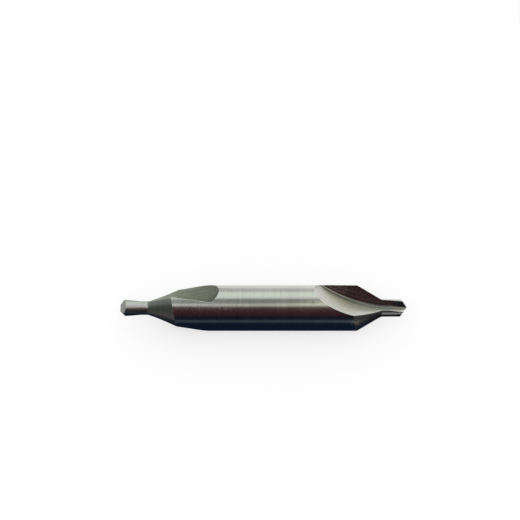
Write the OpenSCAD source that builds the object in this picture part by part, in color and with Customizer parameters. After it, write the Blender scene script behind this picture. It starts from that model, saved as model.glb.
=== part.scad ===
// Double-ended centre drill, right-hand cutting, ground from one round bar.
// The drill lies along X with its middle at the origin.

/* [Shank] */
// Diameter of the shank
shank_d = 8; // [6.3:0.1:10]
// Length over both points
overall_len = 50; // [46:0.5:60]

/* [Pilots] */
// Diameter of the pilot drill at each end
pilot_d = 3.15; // [2.5:0.05:4]
// Length of the left pilot, from its point to the countersink
left_pilot_len = 4.9; // [3.9:0.1:5.5]
// Length of the right pilot, from its point to the countersink
right_pilot_len = 4.4; // [3.9:0.1:5.5]
// Included angle of the drill point
point_angle = 120; // [110:1:130]
// Angle between the chisel edge and the lips
chisel_angle = 130; // [120:1:135]
// Radius of the neck between pilot and countersink
neck_r = 0.8; // [0.3:0.1:1.2]
// Relief angle behind the pilot's cutting edges
pilot_relief = 2.5; // [1:0.5:4]

/* [Countersinks] */
// Included angle of the countersink
countersink_angle = 60; // [60:1:90]
// Relief angle behind the countersink's cutting edges
countersink_relief = 6; // [3:0.5:9]
// Width of the unrelieved margin behind a cutting edge, in degrees of turn
margin_angle = 6; // [4:0.5:10]
// Depth of the step from the margin down to the relieved land
margin_step = 0.03; // [0.02:0.01:0.06]

/* [Flutes] */
// Helix angle at the pilot's surface, to which the grinding wheel is tilted
helix_angle = 8; // [5:0.5:12]
// Thickness of the web between the flutes
web = 1.3; // [1:0.05:1.5]
// Angle between a flute's cutting face and its back
flute_angle = 108; // [98:1:114]
// Radius at the bottom of a flute
flute_root_r = 0.6; // [0.3:0.05:0.9]
// Diameter of the grinding wheel, which leaves its own round where a flute runs out
wheel_d = 45; // [38:1:60]
// Distance from the left point to where the wheel's feed stops
left_feed = 4.1; // [2.5:0.1:5]
// Distance from the right point to where the wheel's feed stops
right_feed = 3; // [2.5:0.1:5]
// Turn of the left end's flutes about the axis
left_clock = 152; // [-180:1:180]
// Turn of the right end's flutes about the axis
right_clock = -147; // [-180:1:180]

/* [Hidden] */
$fn = 96;

// Flutes at each end, half a turn apart
flutes = 2;

shank_r = shank_d / 2;
pilot_r = pilot_d / 2;
cone_half = countersink_angle / 2;
cone_len = (shank_r - pilot_r) / tan(cone_half);
wheel_r = wheel_d / 2;
lead = PI * pilot_d / tan(helix_angle);
turn_per_mm = 360 / lead;

// The neck's arc starts and ends this far from the corner, along each line
neck_tangent = neck_r * tan(cone_half / 2);
neck_end = neck_tangent * cos(cone_half);

// Centre of the flute's root circle, before the wheel rises
root_centre_r = web / 2 + flute_root_r;
root_lean = flute_angle / 2;

// Rise that takes the whole wheel clear of the shank, and the length it needs
runout_rise = 1.5 * shank_r;
runout_len = cos(helix_angle) * sqrt(2 * wheel_r * runout_rise - pow(runout_rise, 2));

// Steps along and across the swept cuts
lead_in = 0.4;
pilot_steps = 8;
neck_steps = 3;
flute_steps = 28;
relief_steps = 10;
land_steps = 6;
root_steps = 7;
neck_margin = 1.5;
relief_reach = 1.5;

// Turn of the blank's seam, which stays on the lands at both ends
seam_turn = 60;

// How far the cuts reach past the blank
land_overlap = 50;
relief_clear = shank_r / 4;
clear_r = 2 * shank_r;

function lerp(a, b, t) = a + (b - a) * t;
function polar(r, a) = [r * cos(a), r * sin(a)];

// Radius of the blank at a distance z from the point, with the countersink carried on past the shank
function blank_r(z, pilot_len) =
    z < pilot_len - neck_tangent ? pilot_r :
    z < pilot_len + neck_end ?
        pilot_r + neck_r - sqrt(pow(neck_r, 2) - pow(z - pilot_len + neck_tangent, 2)) :
        pilot_r + (z - pilot_len) * tan(cone_half);

function even_steps(from, to, n) = [for (i = [0 : n - 1]) lerp(from, to, i / n)];

// Stations of a cut from ahead of the point to its far end, close together at the neck
function stations(pilot_len, end, n) =
    let (near = pilot_len - neck_margin * neck_tangent, far = pilot_len + neck_margin * neck_tangent)
    concat(
        even_steps(-lead_in, near, pilot_steps),
        even_steps(near, far, neck_steps),
        even_steps(far, end, n),
        [end]);

// Turn of the flutes at a distance z from the point: a helix as far as the feed goes
function flute_turn(z, feed) = turn_per_mm * min(z, feed);

// Centre of the root circle. Past the feed the wheel stands still, and its round rim rises along its tilt.
function root_centre(z, feed) =
    let (
        past = max(0, z - feed),
        rise = wheel_r - sqrt(pow(wheel_r, 2) - pow(past / cos(helix_angle), 2))
    )
    polar(root_centre_r, -root_lean) + [rise, past * tan(helix_angle)];

function turned(points, a) = [for (p = points) [p.x * cos(a) - p.y * sin(a), p.x * sin(a) + p.y * cos(a)]];

// Section of a flute: cutting face along +x, back leaning away from it, and a round root
function flute_section(z, feed) =
    let (
        centre = root_centre(z, feed),
        root_turn = 180 - flute_angle,
        root = [for (i = [0 : root_steps]) centre + polar(flute_root_r, 90 + root_turn * i / root_steps)],
        back = polar(clear_r, -flute_angle)
    )
    turned(concat([root[0] + [clear_r, 0]], root, [root[root_steps] + back]), flute_turn(z, feed));

// Section of the relief behind a cutting edge: a step down from the margin, then a falling land
function relief_section(z, pilot_len, feed) =
    let (
        r = blank_r(z, pilot_len),
        edge = asin((root_centre(z, feed).y + flute_root_r) / r),
        fall = pilot_r * tan(pilot_relief) + (r - pilot_r) * tan(countersink_relief),
        land = 180 + land_overlap - flute_angle - margin_angle,
        turns = [for (i = [0 : land_steps]) land * i / land_steps]
    )
    turned(concat(
        [for (a = turns) polar(r + relief_clear, margin_angle + a)],
        [for (i = [land_steps : -1 : 0])
            polar(r - margin_step - fall * turns[i] * PI / 180, margin_angle + turns[i])]),
        edge + flute_turn(z, feed));

// Solid through a row of sections. The ends are filled as ladders.
module sweep(stations, sections) {
    n = len(sections[0]);
    last = len(stations) - 1;
    points = [for (i = [0 : last], p = sections[i]) [p.x, p.y, stations[i]]];
    sides = [for (i = [0 : last - 1], j = [0 : n - 1])
        let (k = (j + 1) % n, a = i * n + j, b = i * n + k)
        each [[a, a + n, b], [b, a + n, b + n]]];
    ladder = [for (j = [0 : n / 2 - 2]) each [[j, j + 1, n - 1 - j], [j + 1, n - 2 - j, n - 1 - j]]];
    top = last * n;
    caps = concat(ladder, [for (f = ladder) [f.x + top, f.z + top, f.y + top]]);
    polyhedron(points, concat(sides, caps), convexity = 8);
}

module flute(pilot_len, feed) {
    z = stations(pilot_len, feed + runout_len, flute_steps);
    sweep(z, [for (s = z) flute_section(s, feed)]);
}

module land_relief(pilot_len, feed) {
    z = stations(pilot_len, pilot_len + relief_reach * cone_len, relief_steps);
    sweep(z, [for (s = z) relief_section(s, pilot_len, feed)]);
}

// What the point grind takes off: two flat flanks that meet in the chisel edge
module point_flanks() {
    along_lip = 1 / tan(point_angle / 2);
    behind_lip = along_lip / tan(180 - chisel_angle);
    slope = norm([along_lip, behind_lip]);
    rotate(atan2(behind_lip, along_lip)) rotate([90, 0, 0])
        linear_extrude(2 * pilot_d, center = true)
            polygon([[0, 0], [-pilot_d, pilot_d * slope], [-pilot_d, -lead_in], [pilot_d, -lead_in],
                [pilot_d, pilot_d * slope]]);
}

// Everything ground out of one end, with the point at the origin and the bar along +Z
module end_cuts(pilot_len, feed) {
    point_flanks();
    for (i = [0 : flutes - 1]) rotate(i * 360 / flutes) {
        flute(pilot_len, feed);
        land_relief(pilot_len, feed);
    }
}

// Half of the blank's outline, from the point to the shank
function end_outline(pilot_len) = concat(
    [[0, 0], [pilot_r, 0]],
    [for (i = [0 : neck_steps]) let (a = cone_half * i / neck_steps)
        [pilot_r + neck_r * (1 - cos(a)), pilot_len - neck_tangent + neck_r * sin(a)]],
    [[shank_r, pilot_len + cone_len]]);

module blank() {
    left = end_outline(left_pilot_len);
    right = end_outline(right_pilot_len);
    rotate_extrude()
        polygon(concat(left, [for (i = [len(right) - 1 : -1 : 0]) [right[i].x, overall_len - right[i].y]]));
}

module centre_drill() {
    color([0.62, 0.61, 0.58])
    rotate([0, 90, 0]) translate([0, 0, -overall_len / 2])
    difference() {
        rotate(seam_turn) blank();
        rotate(left_clock) end_cuts(left_pilot_len, left_feed);
        translate([0, 0, overall_len]) rotate([180, 0, 0]) rotate(right_clock)
            end_cuts(right_pilot_len, right_feed);
    }
}

centre_drill();
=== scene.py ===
import math
import bmesh
import bpy
import numpy as np
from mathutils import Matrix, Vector


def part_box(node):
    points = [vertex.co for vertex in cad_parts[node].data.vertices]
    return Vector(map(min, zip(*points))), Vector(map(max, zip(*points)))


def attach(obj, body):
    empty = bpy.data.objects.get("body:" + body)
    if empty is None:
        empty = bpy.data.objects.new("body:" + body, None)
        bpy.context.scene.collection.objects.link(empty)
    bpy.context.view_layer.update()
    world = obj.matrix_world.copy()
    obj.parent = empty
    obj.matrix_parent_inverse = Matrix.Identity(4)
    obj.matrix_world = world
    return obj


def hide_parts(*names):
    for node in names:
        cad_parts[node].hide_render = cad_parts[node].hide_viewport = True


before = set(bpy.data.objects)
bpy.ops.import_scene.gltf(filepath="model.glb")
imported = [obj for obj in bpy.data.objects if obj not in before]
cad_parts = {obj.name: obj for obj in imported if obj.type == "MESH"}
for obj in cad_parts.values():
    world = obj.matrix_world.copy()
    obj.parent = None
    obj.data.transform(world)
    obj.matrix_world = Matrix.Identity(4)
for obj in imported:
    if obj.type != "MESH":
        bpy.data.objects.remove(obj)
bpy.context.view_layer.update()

print("frame loaded")

# The drill's shape, in millimetres and degrees. Its length and shank come from the frame.
drillShape = {
    "pilotRadius": 1.575,
    "leftPilotLength": 4.9,
    "rightPilotLength": 4.4,
    "pointAngle": 120.0,
    "chiselAngle": 130.0,
    "neckRadius": 0.8,
    "pilotRelief": 2.5,
    "countersinkAngle": 60.0,
    "countersinkRelief": 6.0,
    "marginAngle": 6.0,
    "marginStep": 0.03,
    "helixAngle": 8.0,
    "web": 1.3,
    "fluteAngle": 108.0,
    "fluteRootRadius": 0.6,
    "wheelRadius": 22.5,
    "leftFeed": 4.1,
    "rightFeed": 3.0,
    "leftClock": 152.0,
    "rightClock": -147.0,
}

mmPerMetre = 1000
boxLow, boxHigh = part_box("centre_drill")
drillLength = 2 * mmPerMetre * min(boxHigh[0], -boxLow[0])
shankRadius = mmPerMetre * min(boxHigh[1], boxHigh[2], -boxLow[1], -boxLow[2])
pilotRadius = drillShape["pilotRadius"]
coneHalf = math.radians(drillShape["countersinkAngle"] / 2)
coneTan = math.tan(coneHalf)
coneLength = (shankRadius - pilotRadius) / coneTan
neckRadius = drillShape["neckRadius"]
neckTangent = neckRadius * math.tan(coneHalf / 2)
neckEnd = neckTangent * math.cos(coneHalf)
helixAngle = math.radians(drillShape["helixAngle"])
turnPerMm = math.tan(helixAngle) / pilotRadius
wheelRadius = drillShape["wheelRadius"]
fluteAngle = math.radians(drillShape["fluteAngle"])
rootRadius = drillShape["fluteRootRadius"]
rootStart = (drillShape["web"] / 2 + rootRadius) * np.exp(-0.5j * fluteAngle)
backStart = 1.5 * math.pi - fluteAngle
backWay = np.exp(-1j * fluteAngle)
arcLength = rootRadius * (math.pi - fluteAngle)
marginAngle = math.radians(drillShape["marginAngle"])
marginStep = drillShape["marginStep"]
pilotFall = pilotRadius * math.tan(math.radians(drillShape["pilotRelief"]))
coneFall = math.tan(math.radians(drillShape["countersinkRelief"]))

# How often a sum is repeated until it settles: for a heel's place, and for a height along the bar
heelRounds, heightRounds = 4, 12


# Blank radius: the pilot's, then a circular arc, then the cone's straight line.
def blankRadius(z, pilotLength):
    along = np.clip(z - pilotLength + neckTangent, 0, neckTangent + neckEnd)
    arc = pilotRadius + neckRadius - np.sqrt(neckRadius ** 2 - along ** 2)
    cone = pilotRadius + (z - pilotLength) * coneTan
    return np.where(z < pilotLength + neckEnd, arc, cone)


# Relieved radius: the blank less the margin's step and a fall that grows with the angle behind the margin.
def relievedRadius(z, pilotLength, behind):
    blank = blankRadius(z, pilotLength)
    fall = pilotFall + (blank - pilotRadius) * coneFall
    return np.minimum(shankRadius, blank - marginStep - fall * np.maximum(behind - marginAngle, 0))


# Root circle's centre as x + iy: past the feed the wheel rises by its own round and runs on along its tilt.
def rootCentre(z, feed):
    past = np.maximum(z - feed, 0)
    rise = wheelRadius - np.sqrt(wheelRadius ** 2 - (past / math.cos(helixAngle)) ** 2)
    return rootStart + rise + 1j * past * math.tan(helixAngle)


# Point of a flute's wall at a length from the foot of its back: below 0 the straight back, then the root's
# arc, then the straight face.
def wallPoint(along, centre):
    onBack = centre + rootRadius * np.exp(1j * backStart) - along * backWay
    onRoot = centre + rootRadius * np.exp(1j * (backStart - along / rootRadius))
    onFace = centre + 1j * rootRadius + along - arcLength
    return np.where(along < 0, onBack, np.where(along <= arcLength, onRoot, onFace))


# Lengths at which the wall leaves a circle about the axis, at the heel and at the cutting edge: where the
# lines of back and face, or the root's circle, cut that circle.
def wallEnds(centre, rim):
    away = np.abs(centre)
    cut = (away ** 2 + rootRadius ** 2 - rim ** 2) / (2 * rootRadius * away)
    deep, spread = np.angle(centre) + math.pi, np.arccos(np.clip(cut, -1, 1))
    faceFoot = centre + 1j * rootRadius
    faceRun = np.sqrt(np.maximum(rim ** 2 - faceFoot.imag ** 2, 0)) - faceFoot.real
    backFoot = centre + rootRadius * np.exp(1j * backStart)
    onWay = (backFoot * np.conj(backWay)).real
    room = onWay ** 2 - np.abs(backFoot) ** 2 + rim ** 2
    half = np.sqrt(np.maximum(room, 0))
    rootEdge = rootRadius * (backStart - deep + spread)
    rootHeel = rootRadius * (backStart - deep - spread)
    onFace = (np.abs(faceFoot.imag) < rim) & (faceRun >= 0)
    onRoot = (np.abs(cut) <= 1) & (rootEdge >= 0) & (rootEdge <= arcLength)
    edge = np.where(onFace, arcLength + faceRun, np.where(onRoot, rootEdge, onWay + half))
    heel = np.where((room >= 0) & (half >= onWay), onWay - half, np.clip(rootHeel, 0, arcLength))
    return np.minimum(heel, edge), edge


# Both ends of the wall, and the angle of the cutting edge. The heel's own relief is settled by repeating.
def fluteEnds(z, pilotLength, feed):
    centre = rootCentre(z, feed)
    blank = blankRadius(z, pilotLength)
    heel, edge = wallEnds(centre, np.minimum(shankRadius, blank))
    edgeAngle = np.arcsin((centre.imag + rootRadius) / np.maximum(blank, pilotRadius))
    for settle in range(heelRounds):
        behind = np.angle(wallPoint(heel, centre)) + math.pi - edgeAngle
        heel = wallEnds(centre, relievedRadius(z, pilotLength, behind))[0]
    return centre, heel, edge, edgeAngle


# The land: the angle at which it starts, the angle from there to the next heel, which is half a turn less
# the flute's opening, and the angle of the cutting edge on the blank, from which the relief is counted.
def landSpan(z, pilotLength, feed):
    centre, heel, edge, edgeAngle = fluteEnds(z, pilotLength, feed)
    start = np.angle(wallPoint(edge, centre))
    return start, np.angle(wallPoint(heel, centre)) + math.pi - start, edgeAngle


# Even steps from a start to an end, with the end left out.
def evenSteps(start, end, count):
    return np.linspace(start, end, count + 1)[:-1]


# The grid of the drill's surface: columns across each stretch of the section, rows along each length of the
# bar. A band is a narrow column beside an edge, as a share of its stretch, which keeps the edge wear and its
# painted highlight at the edge.
drillGrid = {
    "backColumns": 13,
    "rootColumns": 12,
    "faceColumns": 13,
    "marginColumns": 4,
    "landColumns": 32,
    "heelBand": 0.02,
    "edgeBand": 0.025,
    "stepBand": 0.08,  # the step down from the margin, as a share of the margin
    "landBand": 0.015,
    "tipShares": (0, 0.04, 0.2, 0.4, 0.6, 0.8),  # rows on the way from the flanks to tipEnd
    "tipEnd": 1.6,  # millimetres
    "pilotRows": 14,
    "neckRows": 6,
    "coneRows": 24,
    "runOutRows": 64,
    "runOutPower": 1.7,  # above 1 the rows close up towards the flutes' end
    "shankRows": 12,
    "mergeDistance": 2e-6,  # metres, as is the next
    "sliverLength": 1e-7,
    "sharpAngle": 20.0,  # degrees
}

# Columns of the section as shares of each stretch
backShare = np.append(0, evenSteps(drillGrid["heelBand"], 1, drillGrid["backColumns"]))
rootShare = evenSteps(0, 1, drillGrid["rootColumns"])
faceShare = np.append(np.linspace(0, 1 - drillGrid["edgeBand"], drillGrid["faceColumns"] + 1), 1)
wallCount = len(backShare) + len(rootShare) + len(faceShare)
marginPilot, marginFeed = drillShape["leftPilotLength"], drillShape["leftFeed"]
coneMiddle = np.array(marginPilot + coneLength / 2)
marginShare = marginAngle / landSpan(coneMiddle, marginPilot, marginFeed)[1]
stepEnd = marginShare * (1 + drillGrid["stepBand"])
landShare = np.concatenate([
    np.linspace(0, marginShare, drillGrid["marginColumns"] + 1)[1:],
    np.linspace(stepEnd, 1 - drillGrid["landBand"], drillGrid["landColumns"] + 1)])
onMargin = np.arange(len(landShare)) < drillGrid["marginColumns"]
columns = wallCount + len(landShare)

# Wear of the edges, which roughens them and paints a pale highlight along them, and painted shade in the
# flutes' roots: where the shade starts on the back and ends on the face, as shares of them, and how much
# there is at the foot of each. The middle of the root has all of it.
wearHighlightAndShade = {
    "edges": 1.0,
    "crease": 0.3,
    "rootShadeStart": 0.3,
    "rootShadeBack": 0.6,
    "rootShadeFace": 0.5,
    "rootShadeEnd": 0.1,
}

# Painted shade over the wall, darkest in the root: a square law on the back, half a sine wave on the root, a
# straight fall on the face
rootShadeWay = np.clip((backShare - wearHighlightAndShade["rootShadeStart"]) / (1 - wearHighlightAndShade["rootShadeStart"]), 0, 1)
wallRootShade = np.concatenate([
    wearHighlightAndShade["rootShadeBack"] * rootShadeWay ** 2,
    wearHighlightAndShade["rootShadeBack"] + (1 - wearHighlightAndShade["rootShadeBack"]) * np.sin(math.pi * rootShare),
    wearHighlightAndShade["rootShadeFace"] * np.clip(1 - faceShare / wearHighlightAndShade["rootShadeEnd"], 0, 1)])


# One half turn of the section, turned by the helix as far as the feed goes: back, root and face of a flute,
# then the land from its edge to the next heel. The second array is the length round the section.
def halfSection(z, pilotLength, feed):
    wallZ, landZ = z[:, :wallCount], z[:, wallCount:]
    centre, heel, edge = fluteEnds(wallZ, pilotLength, feed)[:3]
    backEnd, rootEnd = np.clip(0, heel, edge), np.clip(arcLength, heel, edge)
    first, second = len(backShare), len(backShare) + len(rootShare)
    along = np.concatenate([
        heel[:, :first] + backShare * (backEnd - heel)[:, :first],
        backEnd[:, first:second] + rootShare * (rootEnd - backEnd)[:, first:second],
        rootEnd[:, second:] + faceShare * (edge - rootEnd)[:, second:]], axis=1)
    start, span, edgeAngle = landSpan(landZ, pilotLength, feed)
    angle = start + landShare * span
    margin = np.minimum(shankRadius, blankRadius(landZ, pilotLength))
    radius = np.where(onMargin, margin, relievedRadius(landZ, pilotLength, angle - edgeAngle))
    section = np.concatenate([wallPoint(along, centre), radius * np.exp(1j * angle)], axis=1)
    length = np.concatenate([along, angle * shankRadius], axis=1)
    return section * np.exp(1j * turnPerMm * np.minimum(z, feed)), length


# Where the relieved cone meets the shank: the height at which both radii agree, settled by repeating.
def creaseZ(pilotLength, feed):
    share = np.append(landShare, 1.0)
    crease = np.full(len(share), pilotLength + coneLength)
    for settle in range(heightRounds):
        start, span, edgeAngle = landSpan(crease, pilotLength, feed)
        behind = np.maximum(start + share * span - edgeAngle - marginAngle, 0)
        rise = shankRadius - pilotRadius + marginStep + pilotFall * behind
        crease = pilotLength + rise / (1 - coneFall * behind) / coneTan
    land = np.where(onMargin, pilotLength + coneLength, crease[:-1])
    wall = np.linspace(crease[-1], pilotLength + coneLength, wallCount)
    return np.concatenate([wall, land])


# Point height: the slope of the flanks times the distance from the chisel edge, settled by repeating.
def pointZ(pilotLength, feed):
    alongLip = 1 / math.tan(math.radians(drillShape["pointAngle"] / 2))
    behindLip = alongLip / math.tan(math.radians(180 - drillShape["chiselAngle"]))
    slope = math.hypot(alongLip, behindLip)
    across = complex(alongLip, -behindLip) / slope
    z = np.zeros((1, columns))
    for settle in range(heightRounds):
        z = slope * np.abs((halfSection(z, pilotLength, feed)[0] * across).real)
    return z, (halfSection(z, pilotLength, feed)[0] * across).real


# End of a flute: where the back's distance from the axis grows to the shank's radius, read off a fine row
# of the wheel's rises, and a hair more, so that the flute has closed.
def fluteApex(feed):
    leastRise, mostRise, riseSteps = 0.5 * shankRadius, 1.5 * shankRadius, 8000
    hair = 1e-5
    rise = np.linspace(leastRise, mostRise, riseSteps + 1)
    z = feed + math.cos(helixAngle) * np.sqrt(2 * wheelRadius * rise - rise ** 2)
    backFoot = rootCentre(z, feed) + rootRadius * np.exp(1j * backStart)
    return float(np.interp(shankRadius, (backFoot * np.conj(1j * backWay)).real, z)) + hair


# Rows of an end's fluted length: shares of the way up from the flanks, even steps over pilot, neck and
# cone, and from the crease to the flutes' end steps that close up by a power law.
def flutedRows(pilotLength, feed, tip, apex):
    crease = creaseZ(pilotLength, feed)
    tipEnd, neckStart, coneStart = drillGrid["tipEnd"], pilotLength - neckTangent, pilotLength + neckEnd
    tipShare = np.array(drillGrid["tipShares"])[:, None]
    level = np.append(evenSteps(tipEnd, neckStart, drillGrid["pilotRows"]),
                      evenSteps(neckStart, coneStart, drillGrid["neckRows"]))
    coneShare = evenSteps(0, 1, drillGrid["coneRows"])[:, None]
    runOutShare = 1 - np.linspace(1, 0, drillGrid["runOutRows"] + 1)[:, None] ** drillGrid["runOutPower"]
    toCrease = np.concatenate([
        tip + tipShare * (tipEnd - tip),
        np.repeat(level[:, None], columns, axis=1),
        coneStart + coneShare * (crease - coneStart)])
    return np.concatenate([toCrease, crease + runOutShare * (apex - crease)]), len(toCrease)


# Caps of the point: a flat face for each flank, from one end of the chisel edge round to the other. Each
# end is the column past the chisel's line, moved onto the line by straight interpolation.
def pointCaps(ring, ringZ, fromChisel):
    chisel = int(np.argmax(fromChisel[:wallCount] * np.sign(fromChisel[0]) < 0))
    before, after = fromChisel[chisel - 1], fromChisel[chisel]
    place = ring[0, chisel - 1] + before / (before - after) * (ring[0, chisel] - ring[0, chisel - 1])
    ring[0, [chisel, chisel + columns]] = place, -place
    ringZ[0, [chisel, chisel + columns]] = 0
    flank = np.arange(chisel + columns, chisel - 1, -1)
    return np.stack([flank, (flank + columns) % (2 * columns)])


# Plain shank: a cylinder whose angles shear from the last fluted ring to even steps, so that both ends
# share the ring in the middle of the bar.
def plainShank(lastAngle, apex):
    start = np.unwrap(lastAngle)
    count = np.arange(len(start))
    even = 2 * math.pi / len(start)
    goal = even * (count + np.round(np.mean(start - even * count) / even))
    share = np.linspace(0, 1, drillGrid["shankRows"] + 1)[:, None]
    ring = shankRadius * np.exp(1j * (start + share * (goal - start)))
    return ring, np.repeat(apex + share * (drillLength / 2 - apex), len(start), axis=1)


# Quads of a grid of rows by columns that closes on itself across the columns.
def ringQuads(ring):
    grid = np.arange(ring.size).reshape(ring.shape)
    beside = np.roll(grid, -1, axis=1)
    quads = np.stack([grid[:-1], beside[:-1], beside[1:], grid[1:]], axis=-1)
    return quads.reshape(-1, 4)


# Values of an end in one row: first those of the fluted rows, then those of the plain shank.
def inOneRow(fluted, plain):
    return np.concatenate([fluted.reshape(-1), plain.reshape(-1)])


# The zones of the steel, in the order of the drill's materials
drillZones = ["shank", "flute", "relief", "point"]
shankZone, fluteZone, reliefZone, pointZone = range(len(drillZones))


# One end with its point at 0: the half section and the same half a turn on, row by row, then plain shank.
def drillEnd(side):
    pilotLength, feed = drillShape[side + "PilotLength"], drillShape[side + "Feed"]
    clock = math.radians(drillShape[side + "Clock"])
    tip, fromChisel = pointZ(pilotLength, feed)
    apex = fluteApex(feed)
    z, creaseRow = flutedRows(pilotLength, feed, tip, apex)
    section, length = halfSection(z, pilotLength, feed)
    ring = np.concatenate([section, -section], axis=1) * np.exp(1j * clock)
    ringZ = np.tile(z, 2)
    caps = pointCaps(ring, ringZ, fromChisel[0])
    land = np.arange(wallCount - 1, columns)
    shank, shankZ = plainShank(np.angle(ring[-1, np.append(land, land + columns)]), apex)
    quads, shankQuads = ringQuads(ring), ringQuads(shank) + ring.size

    inFlute = np.arange(columns) < wallCount - 1
    onRelief = np.arange(len(z) - 1)[:, None] < creaseRow
    zone = np.where(inFlute, fluteZone, np.where(onRelief, reliefZone, shankZone))
    # Edge wear, which also paints a pale highlight along the edges and the crease, and painted shade in the
    # flutes' roots
    wearAndHighlight = np.zeros(z.shape)
    wearAndHighlight[:, [0, wallCount - 1]] = wearHighlightAndShade["edges"]
    wearAndHighlight[0] = wearHighlightAndShade["edges"]
    wearAndHighlight[creaseRow, wallCount:] = wearHighlightAndShade["crease"]
    rootShade = np.tile(np.append(wallRootShade, np.zeros(len(landShare))), (len(z), 1))
    bare = np.zeros(shank.size)
    depth = inOneRow(ringZ, shankZ)
    return {
        "points": inOneRow(ring, shank),
        "depth": depth,
        "grain": np.stack([inOneRow(np.tile(length, 2), bare), depth], axis=1),
        "wearAndHighlight": inOneRow(np.tile(wearAndHighlight, 2), bare),
        "rootShade": inOneRow(np.tile(rootShade, 2), bare),
        "quads": np.concatenate([quads, shankQuads]),
        "zone": inOneRow(np.tile(zone, 2), np.full(len(shankQuads), shankZone)),
        "caps": caps,
    }


# Both ends in the drill's frame: the left end runs along +X, and the right end is the same turned half
# round. Places that meet are merged.
def drillMesh():
    left, right = drillEnd("left"), drillEnd("right")
    vertices = np.concatenate([
        np.stack([left["depth"] - drillLength / 2, left["points"].imag, -left["points"].real], axis=1),
        np.stack([drillLength / 2 - right["depth"], -right["points"].imag, -right["points"].real], axis=1)])
    offset = len(left["points"])
    quads = np.concatenate([left["quads"], right["quads"] + offset])
    caps = np.concatenate([left["caps"], right["caps"] + offset])
    zone = np.concatenate([left["zone"], right["zone"], np.full(len(caps), pointZone)])
    mesh = bpy.data.meshes.new("drill")
    mesh.from_pydata((vertices / mmPerMetre).tolist(), [], quads.tolist() + caps.tolist())
    mesh.polygons.foreach_set("material_index", zone.astype(np.int32))
    corners = np.zeros(len(mesh.loops), np.int32)
    mesh.loops.foreach_get("vertex_index", corners)
    grain = np.concatenate([left["grain"], right["grain"]])[corners]
    mesh.uv_layers.new(name="grain").data.foreach_set("uv", grain.astype(np.float32).reshape(-1))
    # Attributes at the points: edge wear with its painted highlight, and painted shade in the flutes' roots
    for name in ("wearAndHighlight", "rootShade"):
        value = np.concatenate([left[name], right[name]])
        mesh.attributes.new(name, "FLOAT", "POINT").data.foreach_set("value", value.astype(np.float32))

    work = bmesh.new()
    work.from_mesh(mesh)
    bmesh.ops.remove_doubles(work, verts=work.verts, dist=drillGrid["mergeDistance"])
    bmesh.ops.dissolve_degenerate(work, edges=work.edges, dist=drillGrid["sliverLength"])
    volume = work.calc_volume(signed=True) * mmPerMetre ** 3
    work.to_mesh(mesh)
    work.free()
    sides = np.zeros(len(mesh.loops), np.int32)
    mesh.loops.foreach_get("edge_index", sides)
    openEdges = np.count_nonzero(np.bincount(sides, minlength=len(mesh.edges)) != 2)
    print("drill mesh:", len(mesh.vertices), "vertices,", openEdges, "open edges, volume",
          round(volume, 1), "mm3")
    mesh.shade_smooth()
    mesh.set_sharp_from_angle(angle=math.radians(drillGrid["sharpAngle"]))
    return mesh


# Colour of a shader socket: a share of each of red, green and blue, and full cover.
def tint(colour, share=1.0):
    return (*[share * part for part in colour], 1.0)


# A material with its own nodes.
def newMaterial(name):
    material = bpy.data.materials.new(name)
    material.use_nodes = True
    return material, material.node_tree


# Sets a node's inputs: each is a plain value or the output of another node.
def setInputs(tree, node, inputs):
    for place, value in inputs.items():
        if isinstance(value, bpy.types.NodeSocket):
            tree.links.new(value, node.inputs[place])
        else:
            node.inputs[place].default_value = value


# Adds a node with its inputs and settings.
def addNode(tree, kind, inputs, **settings):
    node = tree.nodes.new(kind)
    for setting, value in settings.items():
        setattr(node, setting, value)
    setInputs(tree, node, inputs)
    return node


# A sum, product or the like of plain values and outputs.
def reckon(tree, operation, *values):
    return addNode(tree, "ShaderNodeMath", dict(enumerate(values)), operation=operation).outputs["Value"]


# A straight ramp from one range of values to another, flat past its ends.
def ramp(tree, value, fromRange, toRange):
    limits = dict(zip(("From Min", "From Max", "To Min", "To Max"), (*fromRange, *toRange)))
    return addNode(tree, "ShaderNodeMapRange", {"Value": value, **limits}).outputs["Result"]


# A mix of two colours, the factor being the second one's share.
def mixed(tree, factor, first, second):
    sockets = {"Factor": factor, "A": first, "B": second}
    return addNode(tree, "ShaderNodeMix", sockets, data_type="RGBA").outputs["Result"]


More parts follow.
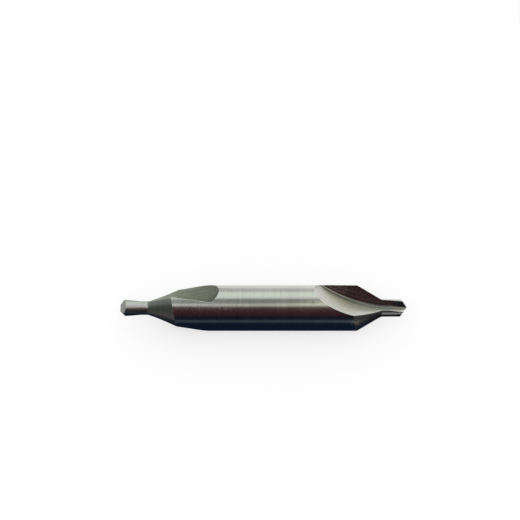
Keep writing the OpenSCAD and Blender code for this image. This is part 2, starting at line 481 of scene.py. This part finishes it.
# What a user would change about the ground steel. A tone is a share of the zone's colour, and a range is
# the part of a noise over which something comes or goes. In a zone, lines are the noise's scales along its
# own coordinates and depth is theirs in metres. Streaks say how strongly the lines darken the steel, and the
# value after them how strongly painted shade darkens the flutes' roots. The edge colour paints a highlight
# along worn edges.
steelLook = {
    "lineDetail": 4.0,
    "patchScale": 260.0,
    "patchDetail": 3.0,
    "patchTone": 0.93,
    "patchRange": (0.3, 0.7),
    "roughRange": (0.6, 1.4),
    "streakTone": 0.3,
    "streakRange": (0.35, 0.55),
    # The next three set the painted shade in the flutes' roots: its dark tone, its range, and its least
    # share
    "rootShadeTone": 0.08,
    "rootShadeRange": (0.35, 0.65),
    "rootShadeLeast": 0.6,
    "zones": {
        "shank": {
            "colour": (0.62, 0.61, 0.58), "roughness": 0.20, "vary": 0.10,
            "coordinates": "Object", "lines": (3500, 30, 30), "depth": 2e-6,
            "streaks": 0.10, "rootShade": 0.0, "edgeHighlightColour": (0.90, 0.90, 0.88), "edgeDulling": 0.18,
        },
        "flute": {
            "colour": (0.60, 0.60, 0.56), "roughness": 0.25, "vary": 0.24,
            "coordinates": "UV", "lines": (5, 0.12, 1), "depth": 1.3e-5,
            "streaks": 0.30, "rootShade": 0.95, "edgeHighlightColour": (0.92, 0.92, 0.90), "edgeDulling": 0.22,
        },
        "relief": {
            "colour": (0.61, 0.60, 0.57), "roughness": 0.32, "vary": 0.12,
            "coordinates": "Object", "lines": (4500, 60, 60), "depth": 3e-6,
            "streaks": 0.20, "rootShade": 0.0, "edgeHighlightColour": (0.92, 0.92, 0.90), "edgeDulling": 0.18,
        },
        "point": {
            "colour": (0.60, 0.59, 0.56), "roughness": 0.26, "vary": 0.12,
            "coordinates": "Object", "lines": (5000, 600, 600), "depth": 3e-6,
            "streaks": 0.15, "rootShade": 0.0, "edgeHighlightColour": (0.92, 0.92, 0.90), "edgeDulling": 0.18,
        },
    },
}


# Ground steel: stretched noise gives the grinding lines, which drive roughness, dark streaks and bump. Wide
# noise changes roughness and colour in patches. Painted shade darkens the flutes' roots, and edge wear
# roughens the edges while a paler colour paints a highlight along them.
def groundSteel(name, look):
    material, tree = newMaterial(name)
    coordinate = addNode(tree, "ShaderNodeTexCoord", {}).outputs
    stretched = addNode(tree, "ShaderNodeMapping", {
        "Vector": coordinate[look["coordinates"]], "Scale": look["lines"]}).outputs["Vector"]
    lines = addNode(tree, "ShaderNodeTexNoise", {
        "Vector": stretched, "Scale": 1.0, "Detail": steelLook["lineDetail"]}).outputs["Fac"]
    patches = addNode(tree, "ShaderNodeTexNoise", {
        "Vector": coordinate["Object"], "Scale": steelLook["patchScale"],
        "Detail": steelLook["patchDetail"]}).outputs["Fac"]
    wearAndHighlight = addNode(tree, "ShaderNodeAttribute", {}, attribute_name="wearAndHighlight").outputs["Fac"]
    rootShade = addNode(tree, "ShaderNodeAttribute", {}, attribute_name="rootShade").outputs["Fac"]

    roughRange = look["roughness"] - look["vary"] / 2, look["roughness"] + look["vary"] / 2
    rough = ramp(tree, reckon(tree, "ADD", lines, patches), steelLook["roughRange"], roughRange)
    rough = reckon(tree, "MULTIPLY_ADD", wearAndHighlight, look["edgeDulling"], rough)

    patchShare = ramp(tree, patches, steelLook["patchRange"], (0.0, 1.0))
    colour = mixed(tree, patchShare, tint(look["colour"], steelLook["patchTone"]), tint(look["colour"]))
    streaks = ramp(tree, lines, steelLook["streakRange"], (look["streaks"], 0.0))
    colour = mixed(tree, streaks, colour, tint(look["colour"], steelLook["streakTone"]))
    # Painted shade in the flutes' roots, broken up by the grinding lines
    leastRootShade = steelLook["rootShadeLeast"] * look["rootShade"]
    held = ramp(tree, lines, steelLook["rootShadeRange"], (look["rootShade"], leastRootShade))
    rootShadeShare = reckon(tree, "MULTIPLY", rootShade, held)
    colour = mixed(tree, rootShadeShare, colour, tint(look["colour"], steelLook["rootShadeTone"]))
    # Worn edges: a paler colour paints a highlight along them
    colour = mixed(tree, wearAndHighlight, colour, tint(look["edgeHighlightColour"]))

    bump = addNode(tree, "ShaderNodeBump", {"Strength": 1.0, "Distance": look["depth"], "Height": lines})
    setInputs(tree, tree.nodes["Principled BSDF"], {
        "Metallic": 1.0, "Base Color": colour, "Roughness": rough, "Normal": bump.outputs["Normal"]})
    return material


drill = bpy.data.objects.new("drill", drillMesh())
bpy.context.scene.collection.objects.link(drill)
for zoneName in drillZones:
    drill.data.materials.append(groundSteel(zoneName + "Steel", steelLook["zones"][zoneName]))
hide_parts("centre_drill")
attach(drill, "root")
print("drill built")

# The studio: floor, sky, lamp, and the cards that the steel mirrors. A card's reach is its azimuth from and
# to, then its height from and to, in degrees as seen from the drill. Azimuth 0 is towards the camera and 90
# to the right. The card overhead has its front and back edges as heights in degrees, and its sides as x.
# The reach of a card on the floor is its x from and to, then its y from and to. Lengths are in metres.
studio = {
    "floorHalf": 4.0,
    "floorColour": (0.97, 0.97, 0.97),
    "floorRoughness": 0.9,
    "floorShine": 0.1,
    "floorWhite": 0.65,
    "skyColour": (0.86, 0.86, 0.86),
    "lampPower": 1.0,
    "lampSize": (0.6, 0.4),
    "lampPlace": (-0.1, -0.2, 0.6),
    "cardDistance": 0.6,
    "cardSteps": 12,
    "floorGap": 0.00005,
    "topHeight": 0.1,
    "topReach": (86.0, 112.0),
    "topSides": (-0.027, 0.016),
    "topColour": (0.24, 0.26, 0.24),
    "cards": {
        "frontGapCard": {"reach": (-30, 30, 72, 86), "colour": (0.47, 0.52, 0.46)},
        "frontLeftTopCard": {"reach": (-80, -30, 50, 80), "colour": (0.95, 0.97, 1.00)},
        "frontTopCard": {"reach": (-30, 30, 50, 72), "colour": (0.066, 0.023, 0.027)},
        "frontCard": {"reach": (-30, 30, 26, 50), "colour": (0.048, 0.016, 0.020)},
        "frontLowCard": {"reach": (-30, 30, 1.0, 26), "colour": (0.008, 0.012, 0.020)},
        "horizonCard": {"reach": (-30, 30, -0.4, 1.0), "colour": (0.058, 0.088, 0.110)},
        "frontLeftCard": {"reach": (-88, -30, -0.4, 50), "colour": (0.052, 0.064, 0.052)},
        "frontRightCard": {"reach": (30, 75, -0.4, 50), "colour": (0.035, 0.033, 0.035)},
        "leftCard": {"reach": (-114, -88, -0.4, 62), "colour": (0.20, 0.22, 0.20)},
        "farLeftCard": {"reach": (-142, -114, -0.4, 62), "colour": (0.36, 0.38, 0.35)},
        "backLeftCard": {"reach": (-170, -142, -0.4, 20), "colour": (0.30, 0.33, 0.26)},
        "backLeftTopCard": {"reach": (-162, -120, 62, 84), "colour": (1.25, 1.28, 1.30)},
        "rightCard": {"reach": (75, 135, -0.4, 58), "colour": (0.85, 0.76, 0.64)},
        "rightTopCard": {"reach": (30, 100, 58, 86), "colour": (1.55, 1.50, 1.27)},
        "backRightTopCard": {"reach": (100, 150, 58, 78), "colour": (0.62, 0.62, 0.52)},
        "overRightCard": {"reach": (100, 125, 78, 86), "colour": (0.80, 0.80, 0.72)},
        "overBackCard": {"reach": (125, 196, 78, 86), "colour": (1.45, 1.48, 1.38)},
        "backCard": {"reach": (140, 220, 27, 58), "colour": (0.93, 1.06, 0.96)},
        "backRightCard": {"reach": (140, 171, -0.4, 27), "colour": (1.15, 1.19, 1.15)},
        "backLowCard": {"reach": (171, 190, -0.4, 27), "colour": (0.62, 0.68, 0.64)},
    },
    "floorCards": {
        "nearFloorCard": {"reach": (-0.030, 0.0205, -0.032, 0.0), "colour": (0.006, 0.013, 0.032)},
        "middleFloorCard": {"reach": (-0.030, 0.0205, -0.05, -0.032), "colour": (0.058, 0.088, 0.110)},
        "farFloorCard": {"reach": (-0.06, 0.3, -0.6, -0.05), "colour": (0.058, 0.088, 0.110)},
        "pilotFloorCard": {"reach": (0.0205, 0.031, -0.05, -0.016), "colour": (1.15, 1.13, 1.10)},
        "neckFloorCard": {"reach": (0.0205, 0.031, -0.016, 0.0), "colour": (0.010, 0.010, 0.016)},
        "rightFloorCard": {"reach": (0.031, 0.6, -0.05, 0.0), "colour": (0.010, 0.010, 0.016)},
        "farRightFloorCard": {"reach": (0.3, 0.6, -0.6, -0.05), "colour": (0.035, 0.033, 0.040)},
        "leftFloorCard": {"reach": (-0.6, -0.030, -0.05, 0.0), "colour": (0.12, 0.105, 0.105)},
        "farLeftFloorCard": {"reach": (-0.6, -0.06, -0.6, -0.05), "colour": (0.12, 0.105, 0.105)},
        "backFloorCard": {"reach": (-0.6, -0.012, 0.012, 0.6), "colour": (0.20, 0.22, 0.18)},
        "tipFloorCard": {"reach": (-0.06, -0.026, 0.0, 0.012), "colour": (0.28, 0.29, 0.28)},
    },
}


# An object of one sheet: quads between neighbours in a grid of places, an array of rows by columns by 3.
def sheet(name, place, material):
    rows, columnCount = place.shape[:2]
    grid = np.arange(rows * columnCount).reshape(rows, columnCount)
    quads = np.stack([grid[:-1, :-1], grid[:-1, 1:], grid[1:, 1:], grid[1:, :-1]], axis=-1)
    mesh = bpy.data.meshes.new(name)
    mesh.from_pydata(place.reshape(-1, 3).tolist(), [], quads.reshape(-1, 4).tolist())
    mesh.materials.append(material)
    made = bpy.data.objects.new(name, mesh)
    bpy.context.scene.collection.objects.link(made)
    return made


# Places of a flat sheet at one level: a rectangle of x and y.
def flatPlaces(reach, level):
    x, y = np.meshgrid(reach[:2], reach[2:])
    return np.stack([x, y, np.full(x.shape, level)], axis=-1)


# Places of a sheet bent round the drill: points of a sphere, in even steps of azimuth and height.
def bentPlaces(reach):
    points = studio["cardSteps"] + 1
    azimuth = np.radians(np.linspace(*reach[:2], points))
    azimuth, height = np.meshgrid(azimuth, np.radians(np.linspace(*reach[2:], points)))
    x, y = np.cos(height) * np.sin(azimuth), -np.cos(height) * np.cos(azimuth)
    return studio["cardDistance"] * np.stack([x, y, np.sin(height)], axis=-1)


# A card of even brightness that only mirrors see.
def card(name, place, colour):
    material, tree = newMaterial(name)
    tree.nodes.remove(tree.nodes["Principled BSDF"])
    glow = addNode(tree, "ShaderNodeEmission", {"Color": tint(colour), "Strength": 1.0})
    setInputs(tree, tree.nodes["Material Output"], {"Surface": glow.outputs["Emission"]})
    made = sheet(name, place, material)
    made.visible_camera = False
    made.visible_diffuse = False
    made.visible_shadow = False
    return made


# A matt floor. What the camera and mirrors see of it is plain white by a share, so that shadows stay faint.
def paleFloor():
    material, tree = newMaterial("floor")
    shader = tree.nodes["Principled BSDF"]
    setInputs(tree, shader, {
        "Base Color": tint(studio["floorColour"]), "Roughness": studio["floorRoughness"],
        "Specular IOR Level": studio["floorShine"]})
    glow = addNode(tree, "ShaderNodeEmission", {"Color": (1.0, 1.0, 1.0, 1.0), "Strength": 1.0})
    path = addNode(tree, "ShaderNodeLightPath", {}).outputs
    mirrored = reckon(tree, "ADD", path["Is Glossy Ray"], path["Is Transmission Ray"])
    seen = reckon(tree, "ADD", path["Is Camera Ray"], mirrored)
    blend = addNode(tree, "ShaderNodeMixShader", {
        0: reckon(tree, "MULTIPLY", seen, studio["floorWhite"]),
        1: shader.outputs["BSDF"], 2: glow.outputs["Emission"]})
    setInputs(tree, tree.nodes["Material Output"], {"Surface": blend.outputs["Shader"]})
    return material


floorZ, floorHalf = boxLow[2], studio["floorHalf"]
floor = sheet("floor", flatPlaces((-floorHalf, floorHalf, -floorHalf, floorHalf), floorZ), paleFloor())

# The card overhead has its edges at its height over the tangent of their angles. Those on the floor lie just
# above it, so that the two don't flicker.
topHeight, cardFloor = studio["topHeight"], floorZ + studio["floorGap"]
topNear, topFar = [-topHeight / math.tan(math.radians(angle)) for angle in studio["topReach"]]
topReach = (*studio["topSides"], topNear, topFar)
card("topCard", flatPlaces(topReach, topHeight), studio["topColour"])
for cardName, cardLook in studio["cards"].items():
    card(cardName, bentPlaces(cardLook["reach"]), cardLook["colour"])
for cardName, cardLook in studio["floorCards"].items():
    card(cardName, flatPlaces(cardLook["reach"], cardFloor), cardLook["colour"])

lampData = bpy.data.lights.new("lamp", "AREA")
lampData.shape = "RECTANGLE"
lampData.size, lampData.size_y = studio["lampSize"]
lampData.energy = studio["lampPower"]
lamp = bpy.data.objects.new("lamp", lampData)
lamp.location = studio["lampPlace"]
lamp.rotation_euler = (-lamp.location).to_track_quat("-Z", "Y").to_euler()
lamp.visible_glossy = False
bpy.context.scene.collection.objects.link(lamp)

world = bpy.data.worlds.new("studio")
world.use_nodes = True
setInputs(world.node_tree, world.node_tree.nodes["Background"], {
    "Color": tint(studio["skyColour"]), "Strength": 1.0})
bpy.context.scene.world = world
print("studio built")

# The camera: lens and sensor in millimetres, height above the floor in degrees, and how far right of and
# below the middle of the picture the drill sits, in pixels.
cameraView = {
    "lens": 85.0,
    "sensor": 36.0,
    "clipStart": 0.01,
    "elevation": 63.0,
    "picturePixels": 520,
    "pixelsPerMm": 5.716,
    "right": 3.4,
    "down": 48.0,
}

cameraData = bpy.data.cameras.new("camera")
cameraData.lens = cameraView["lens"]
cameraData.sensor_width = cameraView["sensor"]
cameraData.clip_start = cameraView["clipStart"]
camera = bpy.data.objects.new("camera", cameraData)
tilt = math.radians(cameraView["elevation"])
towards = Vector((0, -math.cos(tilt), math.sin(tilt)))
up = Vector((0, math.sin(tilt), math.cos(tilt)))
perPixel = 1 / (mmPerMetre * cameraView["pixelsPerMm"])
aim = up * cameraView["down"] * perPixel - Vector((1, 0, 0)) * cameraView["right"] * perPixel
distance = cameraView["picturePixels"] * perPixel * cameraView["lens"] / cameraView["sensor"]
camera.location = aim + towards * distance
camera.rotation_euler = (-towards).to_track_quat("-Z", "Y").to_euler()
bpy.context.scene.collection.objects.link(camera)
bpy.context.scene.camera = camera
bpy.context.scene.view_settings.view_transform = "Standard"
print("camera set")
